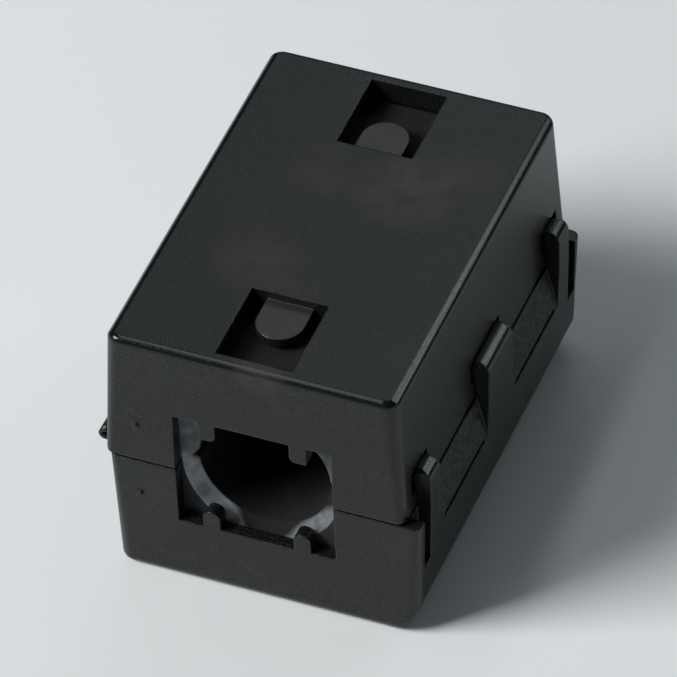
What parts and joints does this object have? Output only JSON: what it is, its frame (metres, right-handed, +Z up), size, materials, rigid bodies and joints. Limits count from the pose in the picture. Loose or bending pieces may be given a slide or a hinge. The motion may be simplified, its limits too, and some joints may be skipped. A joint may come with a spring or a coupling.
{
  "type": "clip-on ferrite bead",
  "caption": "Black box-shaped clip-on bead whose hinged case snaps shut round a cable and presses a split ferrite core against it.",
  "frame": {"origin": "middle of the bore, on the parting plane of the case", "axes": "+X to the latch side, +Y along the cable, +Z up out of the upper half"},
  "size_m": [0.0226, 0.0295, 0.0201],
  "materials": {
    "case_plastic": "fine-grained moulded nylon, charcoal black",
    "ferrite": "sintered ferrite ceramic, dark grey, dry matte"
  },
  "bodies": {
    "base": {"lower_case": "case_plastic", "lower_core": "ferrite", "hinge_film": "case_plastic"},
    "lid": {"upper_case": "case_plastic", "upper_core": "ferrite"}
  },
  "joints": [
    {"name": "lid_hinge", "type": "hinge", "parent": "base", "child": "lid", "pos_m": [-0.01085, 0, 0], "axis": [0, -1, 0], "range_deg": [0, 175], "deforming": ["hinge_film"]}
  ]
}
